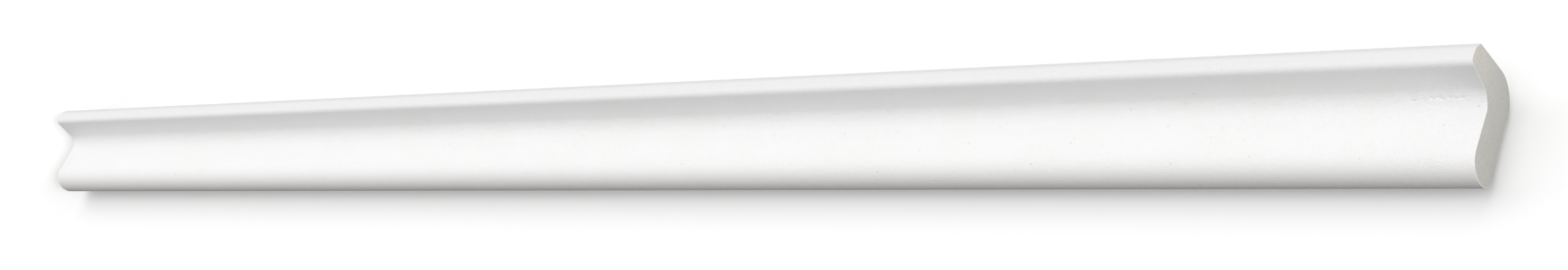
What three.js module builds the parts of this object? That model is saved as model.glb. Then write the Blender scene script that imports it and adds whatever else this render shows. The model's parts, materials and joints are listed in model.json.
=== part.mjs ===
// Foam coving for the corner between a wall and a ceiling.
// One straight length of one closed solid, with both ends cut square.
// Millimetres. +X runs along the length, +Y points into the wall, +Z points up to the ceiling.
// The origin is the middle of the flat face that is fixed to the wall.

import * as THREE from "three";

// Driving dimensions of the whole length
const length = 2000;
const wallFaceMiddle = 57; // how far the middle of the wall face lies below the ceiling face

// The section is a ring of corners, each rounded by its own radius.
// Reach is measured out from the wall face, drop is measured down from the ceiling face.
const footDrop = 94.5;
const footBackRadius = 15.5;
const footFrontReach = 37.5;
const footFrontRadius = 19.5;

const coveReach = 32;
const coveDrop = 30;
const coveRadius = 15;

const noseReach = 72.5;
const noseDrop = 20.5;
const noseRadius = 4.5;

const shoulderReach = 70;
const shoulderDrop = 6.5;
const shoulderRadius = 8;

const bandTopReach = 64.5;
const bandTopRadius = 3;

// The round back of the section stands slightly proud of the wall face, above a soft step.
const backProud = 2;
const backRadius = 27;
const stepTopDrop = 29;
const stepBottomDrop = 35;
const stepRadius = 6;

// How finely a round corner is cut into flats: each arc has twice this many.
const arcFineness = 6;

const foamWhite = 0xf1f2f0;
const foamRoughness = 0.85;

// The corners in order, from the back of the foot, up the back, along the ceiling face,
// round the nose into the cove and down the front of the foot.
function sectionCorners() {
  return [
    { reach: 0, drop: footDrop, radius: footBackRadius },
    { reach: 0, drop: stepBottomDrop, radius: stepRadius },
    { reach: -backProud, drop: stepTopDrop, radius: stepRadius },
    { reach: -backProud, drop: 0, radius: backRadius },
    { reach: bandTopReach, drop: 0, radius: bandTopRadius },
    { reach: shoulderReach, drop: shoulderDrop, radius: shoulderRadius },
    { reach: noseReach, drop: noseDrop, radius: noseRadius },
    { reach: coveReach, drop: coveDrop, radius: coveRadius },
    { reach: footFrontReach, drop: footDrop, radius: footFrontRadius },
  ];
}

// A corner as a point in the section's plane: x towards the wall, y up.
function cornerPoint(corner) {
  return new THREE.Vector2(-corner.reach, wallFaceMiddle - corner.drop);
}

// Adds the arc that touches both sides of a corner; the straight to it is drawn by the path.
function addRoundedCorner(path, before, corner, after, radius) {
  const toBefore = before.clone().sub(corner).normalize();
  const toAfter = after.clone().sub(corner).normalize();
  const halfAngle = Math.acos(toBefore.dot(toAfter)) / 2;
  const inward = toBefore.clone().add(toAfter).normalize();
  const centre = corner.clone().addScaledVector(inward, radius / Math.sin(halfAngle));
  const touch = radius / Math.tan(halfAngle);
  const start = corner.clone().addScaledVector(toBefore, touch).sub(centre);
  const end = corner.clone().addScaledVector(toAfter, touch).sub(centre);
  const clockwise = start.cross(end) < 0;
  path.absarc(centre.x, centre.y, radius, start.angle(), end.angle(), clockwise);
}

function sectionShape() {
  const corners = sectionCorners();
  const points = corners.map(cornerPoint);
  const shape = new THREE.Shape();
  corners.forEach((corner, i) => {
    const before = points[(i + points.length - 1) % points.length];
    const after = points[(i + 1) % points.length];
    addRoundedCorner(shape, before, points[i], after, corner.radius);
  });
  shape.closePath();
  return shape;
}

// The section drawn along the length, centred on it. The section's x becomes +Y,
// its y becomes +Z and the direction of the length becomes +X.
function covingGeometry() {
  const geometry = new THREE.ExtrudeGeometry(sectionShape(), {
    depth: length,
    curveSegments: arcFineness,
    bevelEnabled: false,
  });
  geometry.translate(0, 0, -length / 2);
  const toWall = new THREE.Vector3(0, 1, 0);
  const toCeiling = new THREE.Vector3(0, 0, 1);
  const alongLength = new THREE.Vector3(1, 0, 0);
  geometry.applyMatrix4(new THREE.Matrix4().makeBasis(toWall, toCeiling, alongLength));
  return geometry;
}

const foam = new THREE.MeshStandardMaterial({
  name: "white_foam",
  color: foamWhite,
  roughness: foamRoughness,
  metalness: 0,
});

const coving = new THREE.Mesh(covingGeometry(), foam);
coving.name = "foam_coving";

const group = new THREE.Group();
group.add(coving);

export default group;
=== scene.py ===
import json
import math
import random

import bmesh
import bpy
from mathutils import Matrix, Vector
from mathutils.kdtree import KDTree

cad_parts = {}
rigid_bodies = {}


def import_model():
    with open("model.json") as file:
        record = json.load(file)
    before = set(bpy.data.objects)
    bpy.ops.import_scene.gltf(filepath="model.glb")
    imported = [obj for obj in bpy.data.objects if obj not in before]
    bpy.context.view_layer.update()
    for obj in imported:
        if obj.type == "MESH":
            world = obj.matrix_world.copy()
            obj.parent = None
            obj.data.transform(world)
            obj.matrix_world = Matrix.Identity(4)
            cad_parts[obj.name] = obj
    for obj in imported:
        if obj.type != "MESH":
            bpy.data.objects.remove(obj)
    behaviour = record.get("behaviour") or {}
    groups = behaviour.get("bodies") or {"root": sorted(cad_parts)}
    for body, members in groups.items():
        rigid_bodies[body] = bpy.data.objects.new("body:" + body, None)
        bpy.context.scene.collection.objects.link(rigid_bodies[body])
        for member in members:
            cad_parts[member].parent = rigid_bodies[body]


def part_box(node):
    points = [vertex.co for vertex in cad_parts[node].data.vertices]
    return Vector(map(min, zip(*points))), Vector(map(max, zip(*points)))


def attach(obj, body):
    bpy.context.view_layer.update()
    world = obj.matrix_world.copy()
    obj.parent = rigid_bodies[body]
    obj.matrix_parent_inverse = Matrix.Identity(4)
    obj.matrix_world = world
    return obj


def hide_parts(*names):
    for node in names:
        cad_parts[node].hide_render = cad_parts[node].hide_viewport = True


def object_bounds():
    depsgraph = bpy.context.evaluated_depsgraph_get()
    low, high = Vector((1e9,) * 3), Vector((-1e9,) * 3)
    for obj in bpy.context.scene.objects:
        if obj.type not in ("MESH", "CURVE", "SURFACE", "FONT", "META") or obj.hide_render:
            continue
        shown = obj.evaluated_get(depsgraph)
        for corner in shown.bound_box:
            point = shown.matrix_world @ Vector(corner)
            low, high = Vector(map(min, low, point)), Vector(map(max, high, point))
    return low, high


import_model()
cad_low, cad_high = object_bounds()

# Metres, in the frame of the part: +X along the length, +Y into the wall, +Z up to the ceiling.
MM = 0.001

# The places that the solid gives
NODE = "foam_coving"
low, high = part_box(NODE)
FAR_END = low.x
NEAR_END = high.x
CEILING = high.z

# The corners of the section, in order from the back of the foot up the back and round to its
# front: how far each stands out from the wall face, how far it lies below the ceiling face,
# the radius that rounds it and the number of flats in its arc.
SECTION = {
    "foot back": (0, 94.5 * MM, 15.5 * MM, 12),
    "step bottom": (0, 35 * MM, 6 * MM, 3),
    "step top": (-2 * MM, 29 * MM, 6 * MM, 3),
    "back": (-2 * MM, 0, 27 * MM, 14),
    "band top": (64.5 * MM, 0, 4 * MM, 5),
    "shoulder": (70 * MM, 6.5 * MM, 8 * MM, 4),
    "nose": (72.5 * MM, 20.5 * MM, 6 * MM, 10),
    "cove": (32 * MM, 30 * MM, 15 * MM, 20),
    "foot front": (37.5 * MM, 94.5 * MM, 19.5 * MM, 14),
}
COVE_REACH = SECTION["cove"][0]

# How finely the faces are divided
FLAT_WIDTH = 2.6 * MM            # width of the strips on the flat stretches of the section
WIDEST_FLAT = 1.5 * FLAT_WIDTH   # a strip up to this width is left whole
DENTED_STRETCH = 68 * MM         # the near end, whose dents show, has the narrowest rings
NEXT_STRETCH = 180 * MM
RING_WIDTHS = (0.8 * MM, 2 * MM, 4.6 * MM)
CUT_FACE_PITCH = 0.9 * MM        # the grid on a cut end
MOST_CUTS = 50                   # the most that one subdivision is asked for
SMOOTH_ANGLE = math.radians(35)  # sharper edges than this show as edges

# The cut ends
ARRIS = 0.7 * MM                 # softened edge round each cut
ARRIS_FLATS = 3
RIM = 0.8 * MM                   # plain margin inside that edge

# How nearly a direction has to point one way to be picked by it
MOSTLY = 0.9
NEARLY = 0.99
SQUARE_ON = 0.999

SAME_PLACE = 0.01 * MM           # places closer than this count as one
STRETCH_SLACK = 1 * MM           # how far past a stretch one of its edges may reach

# Relief, all of it pressed in from the true faces
SKIN_SWELL = 14 * MM             # size of the slow unevenness of the skin
SKIN_SWELL_DEPTH = 0.1 * MM
SKIN_BEAD = 3 * MM               # size of the beads that show faintly through the skin
SKIN_BEAD_DEPTH = 0.05 * MM
SKIN_MARGIN = 0.9 * ARRIS        # the relief of the skin stops this far from the ends
CUT_BEAD = 3 * MM                # size of the beads that the saw cut open
CUT_BEAD_DEPTH = 0.22 * MM

# Small dents low in the cove close to the near end
DENT_SEED = 11
DENT_DROP = 29.3 * MM                 # their middle, below the ceiling face
DENT_SCATTER = 1.1 * MM               # above and below that
DENT_STRETCH = (17 * MM, 60 * MM)     # from the near end

# By size: how many, how wide each is, how long its floor is and how deep
DENTS = (
    (6, 1.6 * MM, 2.6 * MM, 0.6 * MM),
    (12, 1.2 * MM, 1.6 * MM, 0.55 * MM),
    (20, 1.0 * MM, 0.7 * MM, 0.45 * MM),
)
DENT_REACH = COVE_REACH + 4 * MM      # about how far out the skin stands where the dents are
DENT_END = 0.3 * MM                   # how much a floor gains at each end
DENT_HALF_HEIGHT = 0.5 * MM
INTO_COVE = Vector((0, 0.8, 0.6))     # inward, square to the skin low in the cove

# Where the front edge of the near cut is crumbled: drop below the ceiling face, width and depth
CRUMBS = (
    (33.5 * MM, 1.8 * MM, 1.1 * MM),
    (36.5 * MM, 1.3 * MM, 0.8 * MM),
    (30.6 * MM, 1.2 * MM, 0.7 * MM),
    (39.5 * MM, 1.1 * MM, 0.5 * MM),
    (61.0 * MM, 1.1 * MM, 0.4 * MM),
)
CRUMB_REACH = COVE_REACH + 2 * MM
INTO_EDGE = Vector((-0.7, 1, 0))      # away from the cut and in from the front
FRONTWARD = 0.1                       # the least that the skin in front faces away from the wall

# Where the plain foam of the back takes over from the white skin
TOP_DEPTH = 0.3 * MM             # faces no lower than this belong to the ceiling face
TOP_FRONT = 2 * MM               # plain from this far behind its front edge
WALL_DEPTH = 1.2 * MM            # plain this far out from the wall face, below the step
ROUND_BACK_DEPTH = 22 * MM       # and this far out from it above the step

# The foam's grain
JOIN_REACH = 0.14                # how far a join reaches into a bead, in beads
FINE_WAVES = 1.1                 # waves of the fine grain to a bead
FINE_RANGE = (0.3, 0.7)          # where nearly all of the fine grain lies
PITS_TO_A_BEAD = 0.12            # along a line
WIDEST_PIT = 0.13                # from its middle to its edge, in spacings of the pits
LEAST_PIT = 0.001                # so that nothing is divided by zero
PIT_PATCH_WAVES = 45             # a metre, in the noise that makes the pits of a place wide or none
PIT_PATCH_RANGE = (0.4, 0.65)
PIT_EDGE_WAVES = 700             # a metre, in the unevenness of their edges
PIT_EDGE_SHIFT = 1.6 * MM
SKIN_GRAIN_DEPTH = 0.3 * MM
CUT_GRAIN_DEPTH = 0.25 * MM
BACK_GRAIN_DEPTH = 0.3 * MM

# The drag marks in the skin: how far below the ceiling face their middle lies, and how far
# above and below that they begin and end to fade
MARKS_DROP = 30 * MM
MARKS_FADE = (2 * MM, 6 * MM)
MARKS_LEFT = 0.1                 # the share of them that is left elsewhere
MARKS_WAVES = 620                # a metre, across the length
MARKS_STRETCH = 0.16             # of that along it
MARKS_RANGE = (0.56, 0.7)

WALL_SIDE_SHIFT = 22 * MM            # how unevenly the darkening towards the wall spreads on a cut end

# A Mix node has sockets for each kind of data, and these are the ones for colours.
MIX_FIRST = 6
MIX_SECOND = 7
MIX_RESULT = 2


def at(reach, drop):
    """A place of the section at mid length, out from the wall face and down from the ceiling."""
    return Vector((0, -reach, CEILING - drop))


def corner(name):
    """The place of one sharp corner of the section."""
    return at(*SECTION[name][:2])


def only(piece):
    """Selects this piece alone and makes it the active one."""
    bpy.ops.object.select_all(action="DESELECT")
    piece.select_set(True)
    bpy.context.view_layer.objects.active = piece


def pick(piece, kind, wanted):
    """In edit mode, selects just the faces, edges or verts for which wanted() is true."""
    bpy.ops.mesh.select_all(action="DESELECT")
    mode = {"faces": "FACE", "edges": "EDGE", "verts": "VERT"}[kind]
    bpy.ops.mesh.select_mode(type=mode)
    shape = bmesh.from_edit_mesh(piece.data)
    for item in getattr(shape, kind):
        if wanted(item):
            item.select_set(True)
    shape.select_flush_mode()
    bmesh.update_edit_mesh(piece.data)


def middle_of_selected(piece):
    """The mean place of the selected verts of the mesh."""
    shape = bmesh.from_edit_mesh(piece.data)
    chosen = [v.co for v in shape.verts if v.select]
    return sum(chosen, Vector()) / len(chosen)


def is_cut(face):
    """True for a face that lies square across the length."""
    return abs(face.normal.x) > NEARLY


def runs_along(edge):
    """True for an edge that runs along the length."""
    a, b = edge.verts[0].co, edge.verts[1].co
    return abs(a.x - b.x) > MOSTLY * (a - b).length


def lies_at(edge, place):
    """True for an edge along the length that passes through this place of the section."""
    middle = (edge.verts[0].co + edge.verts[1].co) / 2
    return runs_along(edge) and (middle.yz - place.yz).length < SAME_PLACE


def lies_between(face, a, b):
    """True for a face with four corners whose two lengthwise edges are at a and b."""
    places = [v.co.yz for v in face.verts]
    close = [min((p - a.yz).length, (p - b.yz).length) < SAME_PLACE for p in places]
    return len(close) == 4 and all(close)


def bevel(width, flats):
    """Rounds the selected edges with an arc of so many flats."""
    bpy.ops.mesh.bevel(
        offset_type="OFFSET",
        offset=width,
        segments=flats,
        profile=0.5,
        affect="EDGES",
        clamp_overlap=False,
    )


def move_edge(piece, start, end):
    """Carries the lengthwise edge at one place of the section to another."""
    pick(piece, "edges", lambda e: lies_at(e, start))
    bpy.ops.transform.translate(value=end - start)


def add_corner(piece, a, b, place):
    """Cuts the strip between two corners along the length and carries the cut to a new one."""
    pick(piece, "faces", lambda f: lies_between(f, a, b))
    bpy.ops.mesh.bisect(plane_co=(0, 0, place.z), plane_no=(0, 0, 1))
    bpy.ops.transform.translate(value=(0, place.y - middle_of_selected(piece).y, 0))


def join_flat_faces(piece):
    """Makes one face of each cut end, and one of the ceiling face."""

    def divides_a_flat(edge):
        on_cut = all(is_cut(f) for f in edge.link_faces)
        on_ceiling = all(f.normal.z > SQUARE_ON for f in edge.link_faces)
        return on_cut or on_ceiling

    pick(piece, "edges", divides_a_flat)
    bpy.ops.mesh.dissolve_edges(use_verts=False)


def block_out():
    """A block for the foot, drawn up to the ceiling and out to the nose, with its corners moved
    to where the section has them."""
    foot_reach, foot_drop = SECTION["foot front"][:2]
    nose_reach = SECTION["nose"][0]
    cove_drop = SECTION["cove"][1]
    foot_height = foot_drop - cove_drop
    bpy.ops.object.select_all(action="DESELECT")
    bpy.ops.mesh.primitive_cube_add(
        size=1,
        location=((NEAR_END + FAR_END) / 2, -foot_reach / 2, CEILING - cove_drop - foot_height / 2),
        scale=(NEAR_END - FAR_END, foot_reach, foot_height),
    )
    piece = bpy.context.active_object
    piece.name = "coving_length"
    piece.data.name = "coving_length"
    bpy.ops.object.transform_apply(location=True, rotation=True, scale=True)
    bpy.ops.object.mode_set(mode="EDIT")

    # Up to the ceiling, then out to the nose
    pick(piece, "faces", lambda f: f.normal.z > MOSTLY)
    bpy.ops.mesh.extrude_region_move(TRANSFORM_OT_translate={"value": (0, 0, cove_drop)})
    pick(
        piece,
        "faces",
        lambda f: f.normal.y < -MOSTLY and f.calc_center_median().z > CEILING - cove_drop,
    )
    out = nose_reach - foot_reach
    bpy.ops.mesh.extrude_region_move(TRANSFORM_OT_translate={"value": (0, -out, 0)})
    join_flat_faces(piece)

    # The corners to their places
    top_back = at(0, 0)
    move_edge(piece, at(nose_reach, cove_drop), corner("nose"))
    move_edge(piece, at(nose_reach, 0), corner("band top"))
    move_edge(piece, at(foot_reach, cove_drop), corner("cove"))
    add_corner(piece, corner("band top"), corner("nose"), corner("shoulder"))
    move_edge(piece, at(0, cove_drop), corner("step bottom"))
    add_corner(piece, top_back, corner("step bottom"), corner("step top"))
    move_edge(piece, top_back, corner("back"))
    return piece


def round_corners(piece):
    """Rounds every lengthwise corner of the section by its own radius."""
    names = list(SECTION)
    for i, name in enumerate(names):
        place = corner(name)
        before = (corner(names[i - 1]) - place).normalized()
        after = (corner(names[(i + 1) % len(names)]) - place).normalized()
        half_angle = before.angle(after) / 2
        radius, flats = SECTION[name][2:]
        pick(piece, "edges", lambda e: lies_at(e, place))
        bevel(radius / math.tan(half_angle), flats)


def strips_across(edge):
    """How many narrow strips an edge across the length has room for, or 0 for any other edge."""
    length = edge.calc_length()
    if runs_along(edge) or length <= WIDEST_FLAT:
        return 0
    return round(length / FLAT_WIDTH)


def divide_flats(piece):
    """Divides the wide strips of the section into narrow ones, the widest first."""
    shape = bmesh.from_edit_mesh(piece.data)
    counts = {strips_across(e) for e in shape.edges}
    for strips in sorted(counts, reverse=True):
        if strips > 1:
            pick(piece, "edges", lambda e: strips_across(e) == strips)
            bpy.ops.mesh.subdivide(number_cuts=strips - 1)


def cut_end_faces(piece):
    """Softens the edge round each cut and divides the cut faces into a grid for their relief."""
    pick(piece, "faces", is_cut)
    bpy.ops.mesh.region_to_loop()
    bevel(ARRIS, ARRIS_FLATS)
    pick(piece, "faces", is_cut)
    bpy.ops.mesh.inset(thickness=RIM, use_even_offset=True)
    rows = int((cad_high.z - cad_low.z) / CUT_FACE_PITCH)
    columns = int((cad_high.y - cad_low.y) / CUT_FACE_PITCH)
    planes = [((0, 0, cad_low.z + i * CUT_FACE_PITCH), (0, 0, 1)) for i in range(1, rows + 1)]
    planes += [((0, cad_low.y + i * CUT_FACE_PITCH, 0), (0, 1, 0)) for i in range(1, columns + 1)]
    for place, normal in planes:
        # Selecting less leaves the plain rim out
        pick(piece, "faces", is_cut)
        bpy.ops.mesh.select_less()
        bpy.ops.mesh.bisect(plane_co=place, plane_no=normal)


def divide_stretch(piece, start, end, ring_width):
    """Divides every lengthwise edge between two places into rings of about one width."""
    rings = (end - start) / ring_width
    passes = 1 if rings <= MOST_CUTS else 2
    cuts = round(rings ** (1 / passes)) - 1
    for i in range(passes):
        undivided = (end - start) / (cuts + 1) ** i

        def in_stretch(e):
            low_end, high_end = sorted(v.co.x for v in e.verts)
            inside = low_end > start - STRETCH_SLACK and high_end < end + STRETCH_SLACK
            return inside and runs_along(e) and high_end - low_end > undivided / 2

        pick(piece, "edges", in_stretch)
        bpy.ops.mesh.subdivide(number_cuts=cuts)


def divide_length(piece):
    """Divides the length into rings, narrower towards the end whose dents show."""
    places = (FAR_END, NEAR_END - NEXT_STRETCH, NEAR_END - DENTED_STRETCH, NEAR_END)
    for place in places[1:-1]:
        bpy.ops.mesh.select_all(action="SELECT")
        bpy.ops.mesh.bisect(plane_co=(place, 0, 0), plane_no=(1, 0, 0))
    for start, end, width in zip(places, places[1:], reversed(RING_WIDTHS)):
        divide_stretch(piece, start, end, width)


def vertex_group(piece, name, wanted):
    """Names the verts for which wanted() is true, for a modifier to act on."""
    group = piece.vertex_groups.new(name=name)
    group.add([v.index for v in piece.data.vertices if wanted(v)], 1.0, "REPLACE")
    return group.name


def soft_texture(name, kind, size):
    """A solid texture with features of about this size."""
    texture = bpy.data.textures.new(name, kind)
    texture.noise_scale = size
    return texture


def press_relief(piece, texture, group, depth, high_is_deep=False):
    """Presses a texture's relief into one vertex group: where the texture is darkest it goes
    deepest, or where it is brightest if high is deep."""
    modifier = piece.modifiers.new(texture.name, "DISPLACE")
    modifier.texture = texture
    modifier.texture_coords = "LOCAL"
    modifier.direction = "NORMAL"
    modifier.mid_level = 0.0 if high_is_deep else 1.0
    modifier.strength = -depth if high_is_deep else depth
    modifier.vertex_group = group
    only(piece)
    bpy.ops.object.modifier_apply(modifier=modifier.name)


def add_relief(piece):
    """The slow unevenness and faint beads of the skin, and the open beads of the cuts."""
    skin = vertex_group(piece, "skin", lambda v: abs(v.co.x) < NEAR_END - SKIN_MARGIN)
    cut = vertex_group(
        piece,
        "cut",
        lambda v: abs(v.co.x) > NEAR_END - SAME_PLACE and abs(v.normal.x) > SQUARE_ON,
    )
    press_relief(piece, soft_texture("swell", "CLOUDS", SKIN_SWELL), skin, SKIN_SWELL_DEPTH)
    press_relief(piece, soft_texture("beads", "CLOUDS", SKIN_BEAD), skin, SKIN_BEAD_DEPTH)
    open_beads = soft_texture("open_beads", "VORONOI", CUT_BEAD)
    press_relief(piece, open_beads, cut, CUT_BEAD_DEPTH, high_is_deep=True)
    for group in list(piece.vertex_groups):
        piece.vertex_groups.remove(group)


def press(piece, chosen, into, depth, width):
    """Presses the chosen verts in, and the skin around them softly with them."""
    pick(piece, "verts", lambda v: v.index in chosen)
    bpy.ops.transform.translate(
        value=into.normalized() * depth,
        use_proportional_edit=True,
        proportional_edit_falloff="SMOOTH",
        proportional_size=width,
    )


def front_verts(piece):
    """A search tree of the verts on the front of the stretches close to the near end."""
    shape = bmesh.from_edit_mesh(piece.data)
    stretch_start = NEAR_END - NEXT_STRETCH
    near = [v for v in shape.verts if v.co.x > stretch_start and v.normal.y < -FRONTWARD]
    tree = KDTree(len(near))
    for v in near:
        tree.insert(v.co, v.index)
    tree.balance()
    return tree


def add_dents(piece):
    """The small dents low in the cove, and the crumbled front edge of the near cut."""
    only(piece)
    bpy.ops.object.mode_set(mode="EDIT")
    draw = random.Random(DENT_SEED)
    tree = front_verts(piece)
    for count, width, length, depth in DENTS:
        chosen = set()
        for i in range(count):
            x = NEAR_END - draw.uniform(*DENT_STRETCH)
            z = CEILING - draw.gauss(DENT_DROP, DENT_SCATTER)
            centre = tree.find((x, -DENT_REACH, z))[0]
            for place, index, distance in tree.find_range(centre, length / 2 + DENT_END):
                if abs(place.z - centre.z) < DENT_HALF_HEIGHT:
                    chosen.add(index)
        press(piece, chosen, INTO_COVE, depth, width)
    for drop, width, depth in CRUMBS:
        found = tree.find((NEAR_END, -CRUMB_REACH, CEILING - drop))
        press(piece, {found[1]}, INTO_EDGE, depth, width)
    bpy.ops.object.mode_set(mode="OBJECT")


class Nodes:
    """Adds nodes to one tree and joins them up, with short calls."""

    def __init__(self, tree):
        self.tree = tree

    def add(self, kind, **settings):
        """A new node with these settings."""
        node = self.tree.nodes.new(kind)
        for name, value in settings.items():
            setattr(node, name, value)
        return node

    def join(self, output, entry):
        """Leads an output to an input."""
        self.tree.links.new(output, entry)

    def set(self, entry, value):
        """Gives an input an output to follow, a colour or a number."""
        if isinstance(value, bpy.types.NodeSocket):
            self.join(value, entry)
        elif isinstance(value, tuple):
            entry.default_value = (*value, 1)
        else:
            entry.default_value = value

    def axes(self, place):
        """The X, Y and Z of a place or a direction."""
        node = self.add("ShaderNodeSeparateXYZ")
        self.join(place, node.inputs["Vector"])
        return node.outputs

    def noise(self, place, scale, detail, roughness=0.5):
        """Soft noise; scale is in waves a metre, as a number or as an output."""
        node = self.add("ShaderNodeTexNoise")
        node.inputs["Detail"].default_value = detail
        node.inputs["Roughness"].default_value = roughness
        self.join(place, node.inputs["Vector"])
        self.set(node.inputs["Scale"], scale)
        return node.outputs["Fac"]

    def math(self, operation, a, b=None):
        """One step of arithmetic on one or two values; each is a number or an output."""
        node = self.add("ShaderNodeMath", operation=operation)
        self.set(node.inputs[0], a)
        if b is not None:
            self.set(node.inputs[1], b)
        return node.outputs[0]

    def total(self, *parts):
        """Several outputs added up, each with its own weight."""
        weighted = [self.math("MULTIPLY", output, weight) for output, weight in parts]
        result = weighted[0]
        for part in weighted[1:]:
            result = self.math("ADD", result, part)
        return result

    def spread(self, value, low_from, high_from, low_to=0.0, high_to=1.0):
        """Stretches a value from one range to another and clamps it there."""
        node = self.add("ShaderNodeMapRange")
        self.join(value, node.inputs["Value"])
        node.inputs["From Min"].default_value = low_from
        node.inputs["From Max"].default_value = high_from
        node.inputs["To Min"].default_value = low_to
        node.inputs["To Max"].default_value = high_to
        return node.outputs["Result"]

    def blend(self, mask, first, second):
        """Mixes two colours; each is a tuple or an output."""
        node = self.add("ShaderNodeMix", data_type="RGBA")
        self.set(node.inputs["Factor"], mask)
        self.set(node.inputs[MIX_FIRST], first)
        self.set(node.inputs[MIX_SECOND], second)
        return node.outputs[MIX_RESULT]

    def tint(self, color, tint, value, at_zero, at_one):
        """Lays a tint over a colour, with one strength where a value is 0 and one where it is 1."""
        return self.blend(self.spread(value, 0.0, 1.0, at_zero, at_one), color, tint)


def socket(group, name, kind, in_out, value=None):
    """Adds one named input or output to a node group."""
    made = group.interface.new_socket(name=name, in_out=in_out, socket_type=kind)
    if value is not None:
        made.default_value = value


def foam_grain_group():
    """The beads that the foam is made of, its pits and its slow unevenness of tone.

    Bead Size and Patch Size are in metres. Beads runs from 0 on the joins between the beads to 1
    inside them, Pits from 0 in a pit to 1, Patches and Fine around 0.5.
    """
    group = bpy.data.node_groups.new("foam_grain", "ShaderNodeTree")
    socket(group, "Place", "NodeSocketVector", "INPUT")
    socket(group, "Bead Size", "NodeSocketFloat", "INPUT", 2.4 * MM)
    socket(group, "Patch Size", "NodeSocketFloat", "INPUT", 40 * MM)
    for name in ("Beads", "Bead Tone", "Pits", "Patches", "Fine"):
        socket(group, name, "NodeSocketFloat", "OUTPUT")
    nodes = Nodes(group)
    start = nodes.add("NodeGroupInput")
    end = nodes.add("NodeGroupOutput")
    place = start.outputs["Place"]
    beads_a_metre = nodes.math("DIVIDE", 1.0, start.outputs["Bead Size"])

    joins = nodes.add("ShaderNodeTexVoronoi", feature="DISTANCE_TO_EDGE")
    beads = nodes.add("ShaderNodeTexVoronoi", feature="F1")
    for node in (joins, beads):
        nodes.join(place, node.inputs["Vector"])
        nodes.join(beads_a_metre, node.inputs["Scale"])
    nodes.join(nodes.spread(joins.outputs["Distance"], 0.0, JOIN_REACH), end.inputs["Beads"])
    tone = nodes.add("ShaderNodeSeparateColor")
    nodes.join(beads.outputs["Color"], tone.inputs["Color"])
    nodes.join(tone.outputs["Red"], end.inputs["Bead Tone"])

    # Pits lie far apart, each of its own size and with an uneven edge
    wobble = nodes.add("ShaderNodeTexNoise")
    wobble.inputs["Scale"].default_value = PIT_EDGE_WAVES
    nodes.join(place, wobble.inputs["Vector"])
    shift = nodes.add("ShaderNodeVectorMath", operation="MULTIPLY_ADD")
    nodes.join(wobble.outputs["Color"], shift.inputs[0])
    shift.inputs[1].default_value = (PIT_EDGE_SHIFT, PIT_EDGE_SHIFT, PIT_EDGE_SHIFT)
    nodes.join(place, shift.inputs[2])
    pits = nodes.add("ShaderNodeTexVoronoi", feature="F1")
    nodes.join(shift.outputs["Vector"], pits.inputs["Vector"])
    nodes.join(nodes.math("MULTIPLY", beads_a_metre, PITS_TO_A_BEAD), pits.inputs["Scale"])
    pit_patches = nodes.noise(place, PIT_PATCH_WAVES, 1.0)
    widest = nodes.spread(pit_patches, *PIT_PATCH_RANGE, 0.0, WIDEST_PIT)
    to_edge = nodes.math("ADD", widest, LEAST_PIT)
    from_middle = nodes.math("DIVIDE", pits.outputs["Distance"], to_edge)
    nodes.join(nodes.math("MINIMUM", from_middle, 1.0), end.inputs["Pits"])

    patches_a_metre = nodes.math("DIVIDE", 1.0, start.outputs["Patch Size"])
    nodes.join(nodes.noise(place, patches_a_metre, 3.0, 0.55), end.inputs["Patches"])
    fine_a_metre = nodes.math("MULTIPLY", beads_a_metre, FINE_WAVES)
    nodes.join(nodes.noise(place, fine_a_metre, 2.0, 0.6), end.inputs["Fine"])
    return group


def start_material(name, grain, bead_size, patch_size, shine):
    """A material with the foam's grain in it; returns it with what the finish is built from."""
    material = bpy.data.materials.new(name)
    material.use_nodes = True
    nodes = Nodes(material.node_tree)
    shader = material.node_tree.nodes["Principled BSDF"]
    shader.inputs["Specular IOR Level"].default_value = shine
    place = nodes.add("ShaderNodeTexCoord").outputs["Object"]
    foam = nodes.add("ShaderNodeGroup", node_tree=grain)
    foam.inputs["Bead Size"].default_value = bead_size
    foam.inputs["Patch Size"].default_value = patch_size
    nodes.join(place, foam.inputs["Place"])
    return material, nodes, shader, place, foam.outputs


def add_roughness(nodes, shader, foam, smoothest, roughest):
    """Lets the fine grain vary the roughness."""
    roughness = nodes.spread(foam["Fine"], *FINE_RANGE, smoothest, roughest)
    nodes.join(roughness, shader.inputs["Roughness"])


def add_bump(nodes, shader, height, depth):
    """Relief that is too fine for the mesh."""
    bump = nodes.add("ShaderNodeBump")
    bump.inputs["Distance"].default_value = depth
    nodes.join(height, bump.inputs["Height"])
    nodes.join(bump.outputs["Normal"], shader.inputs["Normal"])


def drag_marks(nodes, place, height):
    """Noise drawn out along the length, strongest low in the cove."""
    drawn = nodes.add("ShaderNodeMapping")
    drawn.inputs["Scale"].default_value = (MARKS_STRETCH, 1, 1)
    nodes.join(place, drawn.inputs["Vector"])
    noise = nodes.noise(drawn.outputs["Vector"], MARKS_WAVES, 3.0, 0.6)
    marks = nodes.spread(noise, *MARKS_RANGE)
    away = nodes.math("ABSOLUTE", nodes.math("SUBTRACT", height, CEILING - MARKS_DROP))
    return nodes.math("MULTIPLY", marks, nodes.spread(away, *MARKS_FADE, 1.0, MARKS_LEFT))


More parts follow.
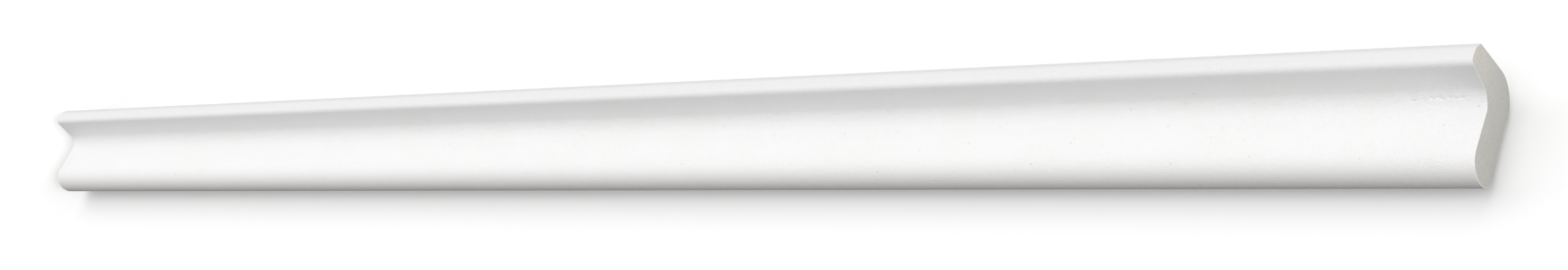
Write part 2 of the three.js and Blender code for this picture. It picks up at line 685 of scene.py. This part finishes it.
def white_skin(grain):
    """The smooth moulded face: white, matt, with faint beads and drag marks along the length."""
    material, nodes, shader, place, foam = start_material(
        "white_skin", grain, bead_size=1.5 * MM, patch_size=60 * MM, shine=0.35
    )
    white = (0.921, 0.92, 0.92)
    dull = (0.908, 0.907, 0.903)
    # painted shade for the band above the nose
    painted_band_shade = (0.867, 0.866, 0.865)
    # a little warmer and darker, for underneath the foot
    warm_below = (0.915, 0.903, 0.882)
    between_beads = (0.7, 0.7, 0.68)
    in_pits = (0.6, 0.6, 0.57)
    height = nodes.axes(place)["Z"]
    color = nodes.blend(nodes.spread(foam["Patches"], 0.35, 0.7), white, dull)

    # Painted shade greys the band above the nose; underneath the foot the colour is warmer
    nose = corner("nose").z
    color = nodes.blend(nodes.spread(height, nose - 1 * MM, nose + 4 * MM), color, painted_band_shade)
    foot = corner("foot front").z
    underneath = nodes.spread(height, foot + 1 * MM, foot + 12 * MM, 0.9, 0.0)
    color = nodes.blend(underneath, color, warm_below)

    color = nodes.tint(color, between_beads, foam["Beads"], 0.05, 0.0)
    color = nodes.tint(color, in_pits, foam["Pits"], 0.25, 0.0)
    nodes.join(color, shader.inputs["Base Color"])
    add_roughness(nodes, shader, foam, 0.62, 0.8)
    marks = drag_marks(nodes, place, height)
    relief = nodes.total((foam["Beads"], 0.3), (foam["Fine"], 0.6), (foam["Pits"], 1.6), (marks, -0.55))
    add_bump(nodes, shader, relief, SKIN_GRAIN_DEPTH)
    return material


def cut_foam(grain):
    """The sawn ends: duller and greyer, with the beads cut open, and darker towards the wall."""
    material, nodes, shader, place, foam = start_material(
        "cut_foam", grain, bead_size=2.6 * MM, patch_size=14 * MM, shine=0.2
    )
    fresh = (0.845, 0.815, 0.762)
    wall_side_tone = (0.592, 0.588, 0.545)
    between_beads = (0.5, 0.487, 0.43)
    # darker towards the wall, unevenly along the way
    uneven = nodes.math("MULTIPLY", nodes.math("SUBTRACT", foam["Patches"], 0.5), WALL_SIDE_SHIFT)
    toward_wall = nodes.math("ADD", nodes.axes(place)["Y"], uneven)
    wall_side_mask = nodes.spread(toward_wall, corner("nose").y, corner("back").y)
    color = nodes.blend(wall_side_mask, fresh, wall_side_tone)
    color = nodes.tint(color, between_beads, foam["Bead Tone"], 0.0, 0.16)
    color = nodes.blend(nodes.spread(foam["Fine"], 0.42, 0.66, 0.0, 0.22), color, between_beads)
    nodes.join(color, shader.inputs["Base Color"])
    add_roughness(nodes, shader, foam, 0.8, 0.95)
    relief = nodes.total((foam["Beads"], 0.35), (foam["Fine"], 1.0))
    add_bump(nodes, shader, relief, CUT_GRAIN_DEPTH)
    return material


def back_foam(grain):
    """The faces that go against the wall and the ceiling: plain foam with its beads showing."""
    material, nodes, shader, place, foam = start_material(
        "back_foam", grain, bead_size=2.8 * MM, patch_size=35 * MM, shine=0.25
    )
    light = (0.88, 0.88, 0.86)
    dark = (0.82, 0.815, 0.785)
    between_beads = (0.62, 0.61, 0.57)
    color = nodes.blend(nodes.spread(foam["Patches"], 0.3, 0.7), light, dark)
    color = nodes.tint(color, dark, foam["Bead Tone"], 0.0, 0.3)
    color = nodes.tint(color, between_beads, foam["Beads"], 0.1, 0.0)
    nodes.join(color, shader.inputs["Base Color"])
    add_roughness(nodes, shader, foam, 0.75, 0.9)
    relief = nodes.total((foam["Beads"], 0.3), (foam["Fine"], 0.8), (foam["Pits"], 0.8))
    add_bump(nodes, shader, relief, BACK_GRAIN_DEPTH)
    return material


def give_materials(piece):
    """White skin in front, cut foam on the ends, plain foam behind and on top."""
    grain = foam_grain_group()
    for material in (white_skin(grain), cut_foam(grain), back_foam(grain)):
        piece.data.materials.append(material)
    skin, cut, back = range(3)     # in the order in which they were just added
    top_front = corner("band top").y + TOP_FRONT
    step = corner("step top").z
    for face in piece.data.polygons:
        middle = face.center
        on_ceiling = middle.z > CEILING - TOP_DEPTH and middle.y > top_front
        on_wall = middle.z < step and middle.y > -WALL_DEPTH
        on_round_back = middle.z > step and middle.y > -ROUND_BACK_DEPTH
        if is_cut(face):
            face.material_index = cut
        elif on_ceiling or on_wall or on_round_back:
            face.material_index = back
        else:
            face.material_index = skin


def model_coving():
    """The whole length of coving, with its materials."""
    piece = block_out()
    round_corners(piece)
    divide_flats(piece)
    cut_end_faces(piece)
    divide_length(piece)
    bpy.ops.object.mode_set(mode="OBJECT")
    give_materials(piece)
    add_relief(piece)
    add_dents(piece)
    only(piece)
    bpy.ops.object.shade_smooth_by_angle(angle=SMOOTH_ANGLE)
    return piece


coving = model_coving()
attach(coving, "root")
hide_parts(NODE)

# The camera, as the photograph sees the coving: from below the near end, leaning over
CAMERA_PLACE = Vector((NEAR_END + 0.7308, -1.3987, CEILING - 0.8449))
CAMERA_AIM = Vector((NEAR_END - 0.739, 0, CEILING - 0.0271))
CAMERA_LEAN = math.radians(20.06)
CAMERA_LENS = 51.33
CAMERA_SENSOR = 36


def make_camera():
    """The camera in its place, turned to its aim and leaning."""
    data = bpy.data.cameras.new("camera")
    data.lens = CAMERA_LENS
    data.sensor_width = CAMERA_SENSOR
    camera = bpy.data.objects.new("camera", data)
    bpy.context.scene.collection.objects.link(camera)
    turn = (CAMERA_AIM - CAMERA_PLACE).to_track_quat("-Z", "Y").to_matrix()
    lean = Matrix.Rotation(CAMERA_LEAN, 3, "Z")
    camera.matrix_world = Matrix.Translation(CAMERA_PLACE) @ (turn @ lean).to_4x4()
    bpy.context.scene.camera = camera


# The studio. A white sheet stands close behind the coving and folds forward round its far end, and
# takes its soft shadow. It is seen from the front only and throws nothing back. The places are
# where it stands, seen from above.
SHEET_NEAR = Vector((NEAR_END + 0.6, 4 * MM, 0))
SHEET_FOLD = Vector((FAR_END - 13 * MM, 14 * MM, 0))
SHEET_FRONT = Vector((FAR_END - 20 * MM, -0.25, 0))
SHEET_HEIGHT = 1.6
SHEET_WHITE = (0.97, 0.97, 0.97, 1)
FOLD_GLOW = 0.28
PURE_WHITE = (1, 1, 1, 1)

# Each soft light: the side it comes from and its height in degrees, seen from the coving with
# the front at 0 and the near end at 90, and its strength.
SOFT_LIGHTS = {
    "left_light": (-45, 15, 0.68),
    "front_low_light": (0, -17, 0.9),
    "front_high_light": (0, 28, 0.4),
    "right_low_light": (45, -17, 0.7),
    "end_light": (90, 0, 0.72),
    "top_light": (0, 85, 0.2),
    "back_left_light": (-150, 38, 0.42),
    "back_right_light": (150, 38, 0.42),
}
LIGHT_SPREAD = math.radians(50)

# The glow of the surroundings, in front of the wall and behind it
FRONT_GLOW = 0.34
BACK_GLOW = 0.35
GLOW_TURN = (-0.15, 0.15)        # the Y of a direction, where one becomes the other
GLOW_RISE = (-0.3, 0.3)          # the Z of a direction, where the glow behind grows to its full
GLOW_BELOW = 0.3                 # the share of the glow behind that comes from below


def white_paper(glow):
    """White paper that shows on its front alone."""
    material = bpy.data.materials.new("white_paper")
    material.use_nodes = True
    nodes = Nodes(material.node_tree)
    shader = material.node_tree.nodes["Principled BSDF"]
    shader.inputs["Base Color"].default_value = SHEET_WHITE
    shader.inputs["Specular IOR Level"].default_value = 0
    shader.inputs["Emission Color"].default_value = PURE_WHITE
    shader.inputs["Emission Strength"].default_value = glow
    mix = nodes.add("ShaderNodeMixShader")
    nodes.join(nodes.add("ShaderNodeNewGeometry").outputs["Backfacing"], mix.inputs["Fac"])
    nodes.join(shader.outputs["BSDF"], mix.inputs[1])
    nodes.join(nodes.add("ShaderNodeBsdfTransparent").outputs["BSDF"], mix.inputs[2])
    output = material.node_tree.nodes["Material Output"]
    nodes.join(mix.outputs["Shader"], output.inputs["Surface"])
    return material


def stand_sheet(name, left, right, glow):
    """A sheet on edge between two places."""
    run = right - left
    bpy.ops.object.select_all(action="DESELECT")
    bpy.ops.mesh.primitive_plane_add(
        size=1,
        location=(left + right) / 2,
        rotation=(math.pi / 2, 0, math.atan2(run.y, run.x)),
    )
    sheet = bpy.context.active_object
    sheet.name = name
    sheet.scale = (run.length, SHEET_HEIGHT, 1)
    bpy.ops.object.transform_apply(location=True, rotation=True, scale=True)
    sheet.visible_shadow = False
    sheet.visible_diffuse = False
    sheet.visible_glossy = False
    sheet.data.materials.append(white_paper(glow))


def make_soft_light(name, side, height, strength):
    """A light far away that is wide enough to leave no hard shadow."""
    data = bpy.data.lights.new(name, "SUN")
    data.angle = LIGHT_SPREAD
    data.energy = strength
    light = bpy.data.objects.new(name, data)
    bpy.context.scene.collection.objects.link(light)
    side = math.radians(side)
    height = math.radians(height)
    level = math.cos(height)
    to_light = Vector((math.sin(side) * level, -math.cos(side) * level, math.sin(height)))
    light.matrix_world = (-to_light).to_track_quat("-Z", "Y").to_matrix().to_4x4()


def make_surroundings():
    """Pure white where the camera looks past the sheet. On the coving they throw a weaker glow,
    even in front and fading downwards behind the wall."""
    world = bpy.data.worlds.new("studio")
    bpy.context.scene.world = world
    world.use_nodes = True
    nodes = Nodes(world.node_tree)
    background = world.node_tree.nodes["Background"]
    background.inputs["Color"].default_value = PURE_WHITE
    direction = nodes.axes(nodes.add("ShaderNodeTexCoord").outputs["Generated"])
    front = nodes.spread(direction["Y"], *GLOW_TURN, FRONT_GLOW, 0.0)
    behind = nodes.spread(direction["Y"], *GLOW_TURN, 0.0, BACK_GLOW)
    above = nodes.spread(direction["Z"], *GLOW_RISE, GLOW_BELOW, 1.0)
    glow = nodes.math("ADD", front, nodes.math("MULTIPLY", behind, above))
    seen = nodes.add("ShaderNodeLightPath").outputs["Is Camera Ray"]
    nodes.join(nodes.math("MAXIMUM", glow, seen), background.inputs["Strength"])


make_camera()
stand_sheet("white_sheet", SHEET_FOLD, SHEET_NEAR, 0)
stand_sheet("white_sheet_fold", SHEET_FRONT, SHEET_FOLD, FOLD_GLOW)
for name, (side, height, strength) in SOFT_LIGHTS.items():
    make_soft_light(name, side, height, strength)
make_surroundings()
bpy.context.scene.view_settings.view_transform = "Standard"
